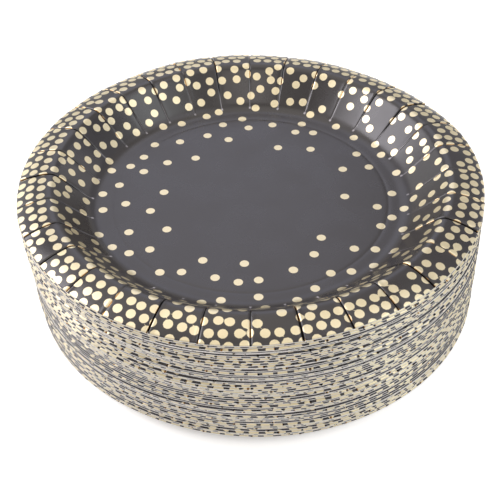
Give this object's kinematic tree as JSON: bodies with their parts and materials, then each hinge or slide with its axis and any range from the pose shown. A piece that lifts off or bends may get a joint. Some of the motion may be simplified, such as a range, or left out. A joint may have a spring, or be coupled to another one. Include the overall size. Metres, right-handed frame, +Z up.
{
  "type": "stack of paper plates",
  "caption": "Stack of nested round disposable plates of pressed card, with pleated rims, printed black with scattered foil dots.",
  "frame": {"origin": "centre of the lowest plate's base, on the surface that the stack stands on", "axes": "+Z up along the plates' common axis; the plates are round, so +X and +Y are any two directions across them"},
  "size_m": [0.23, 0.23, 0.0819],
  "materials": {
    "printed_card": "satin",
    "foil_dots": "satin",
    "bare_card": "matte"
  },
  "bodies": {
    "root": {"plate_01": "printed_card", "plate_02": "printed_card", "plate_03": "printed_card", "plate_04": "printed_card", "plate_05": "printed_card", "plate_06": "printed_card", "plate_07": "printed_card", "plate_08": "printed_card", "plate_09": "printed_card", "plate_10": "printed_card", "plate_11": "printed_card", "plate_12": "printed_card", "plate_13": "printed_card", "plate_14": "printed_card", "plate_15": "printed_card", "plate_16": "printed_card", "plate_17": "printed_card", "plate_18": "printed_card", "plate_19": "printed_card", "plate_20": "printed_card", "plate_21": "printed_card", "plate_22": "printed_card", "plate_23": "printed_card", "plate_24": "printed_card", "plate_25": "printed_card", "plate_26": "printed_card", "plate_27": "printed_card", "plate_28": "printed_card", "plate_29": "printed_card", "plate_30": "printed_card", "plate_31": "printed_card", "plate_32": "printed_card", "plate_33": "printed_card", "plate_34": "printed_card", "plate_35": "printed_card", "plate_36": "printed_card", "plate_37": "printed_card", "plate_38": "printed_card", "plate_39": "printed_card", "plate_40": "printed_card", "plate_41": "printed_card", "plate_42": "printed_card", "plate_43": "printed_card", "plate_44": "printed_card", "plate_45": "printed_card", "plate_46": "printed_card", "plate_47": "printed_card", "plate_48": "printed_card", "plate_49": "printed_card", "plate_50": "printed_card"}
  },
  "joints": []
}
